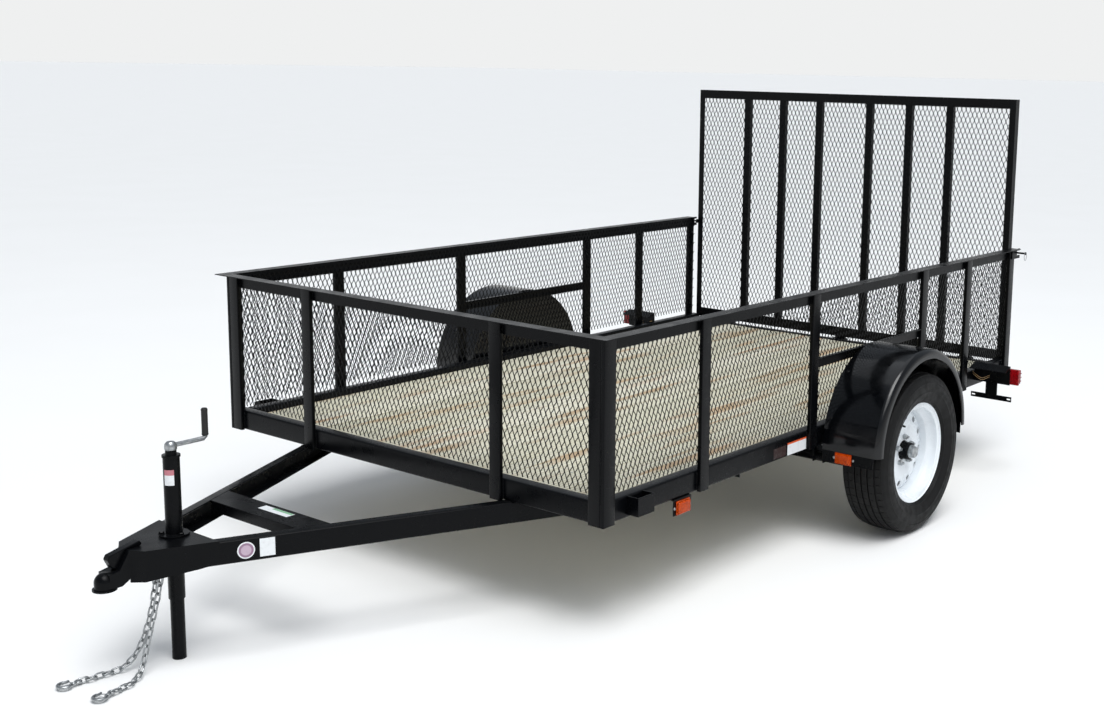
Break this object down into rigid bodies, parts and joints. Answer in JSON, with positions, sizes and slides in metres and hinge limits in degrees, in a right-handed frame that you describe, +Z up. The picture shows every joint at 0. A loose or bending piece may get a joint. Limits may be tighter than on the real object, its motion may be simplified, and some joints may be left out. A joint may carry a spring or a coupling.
{
  "type": "utility trailer",
  "caption": "Single-axle utility trailer with a plank deck, expanded-metal sides, a tall ramp gate at the rear, round fenders, and an A-frame tongue with a ball coupler and a jack.",
  "frame": {"origin": "on the ground, under the middle of the trailer from the coupler's lip to the gate's hinges, and on its centre line", "axes": "+X forwards to the coupler, +Y to the trailer's left, +Z up from the ground"},
  "size_m": [4.3894, 2.473, 1.738],
  "materials": {
    "paint": "gloss black enamel on steel",
    "timber": "rough-sawn treated pine",
    "zinc": "zinc-plated steel",
    "rim": "gloss white wheel enamel",
    "tyre": "matt black rubber",
    "grip": "black moulded grip",
    "amber": "amber lens",
    "red": "red lens"
  },
  "bodies": {
    "chassis": {"front_rail": "paint", "side_rails": "paint", "rear_rail": "paint", "crossmembers": "paint", "deck_boards": "timber", "tongue_beam_left": "paint", "tongue_beam_right": "paint", "tongue_crossmember": "paint", "coupler": "paint", "coupler_latch": "paint", "chain_bracket": "paint", "safety_chain_left": "zinc", "safety_chain_right": "zinc", "chain_hook_left": "zinc", "chain_hook_right": "zinc", "jack_tube": "paint", "jack_crank": "zinc", "jack_grip": "grip", "front_frame": "paint", "side_frame_left": "paint", "side_frame_right": "paint", "mesh_front": "paint", "mesh_left": "paint", "mesh_right": "paint", "gate_hinge_brackets": "paint", "gate_latch_brackets": "paint", "fender_left": "paint", "fender_right": "paint", "fender_braces": "paint", "axle": "paint", "leaf_springs": "paint", "spring_hangers": "paint", "axle_clamps": "zinc", "stake_pockets": "paint", "marker_brackets": "paint", "marker_lights": "amber", "tail_light_brackets": "paint", "tail_lights": "red", "licence_plate_bracket": "paint"},
    "wheel_left": {"tyre_left": "tyre", "rim_left": "rim", "hub_left": "paint", "lug_nuts_left": "zinc"},
    "wheel_right": {"tyre_right": "tyre", "rim_right": "rim", "hub_right": "paint", "lug_nuts_right": "zinc"},
    "gate": {"gate_frame": "paint", "gate_mesh": "paint", "gate_hinge_knuckles": "paint", "gate_latch_pins": "paint"},
    "jack_leg": {"jack_leg": "paint"}
  },
  "joints": [
    {"name": "wheel_left_spin", "type": "hinge", "parent": "chassis", "child": "wheel_left", "pos_m": [-0.733, 1.132, 0.331], "axis": [0, 1, 0], "continuous": true},
    {"name": "wheel_right_spin", "type": "hinge", "parent": "chassis", "child": "wheel_right", "pos_m": [-0.733, -1.132, 0.331], "axis": [0, 1, 0], "continuous": true},
    {"name": "gate_hinge", "type": "hinge", "parent": "chassis", "child": "gate", "pos_m": [-2.131, 0, 0.436], "axis": [0, -1, 0], "range_deg": [0, 109]},
    {"name": "jack_leg_slide", "type": "slide", "parent": "chassis", "child": "jack_leg", "axis": [0, 0, 1], "range_m": [-0.15, 0.19]}
  ]
}
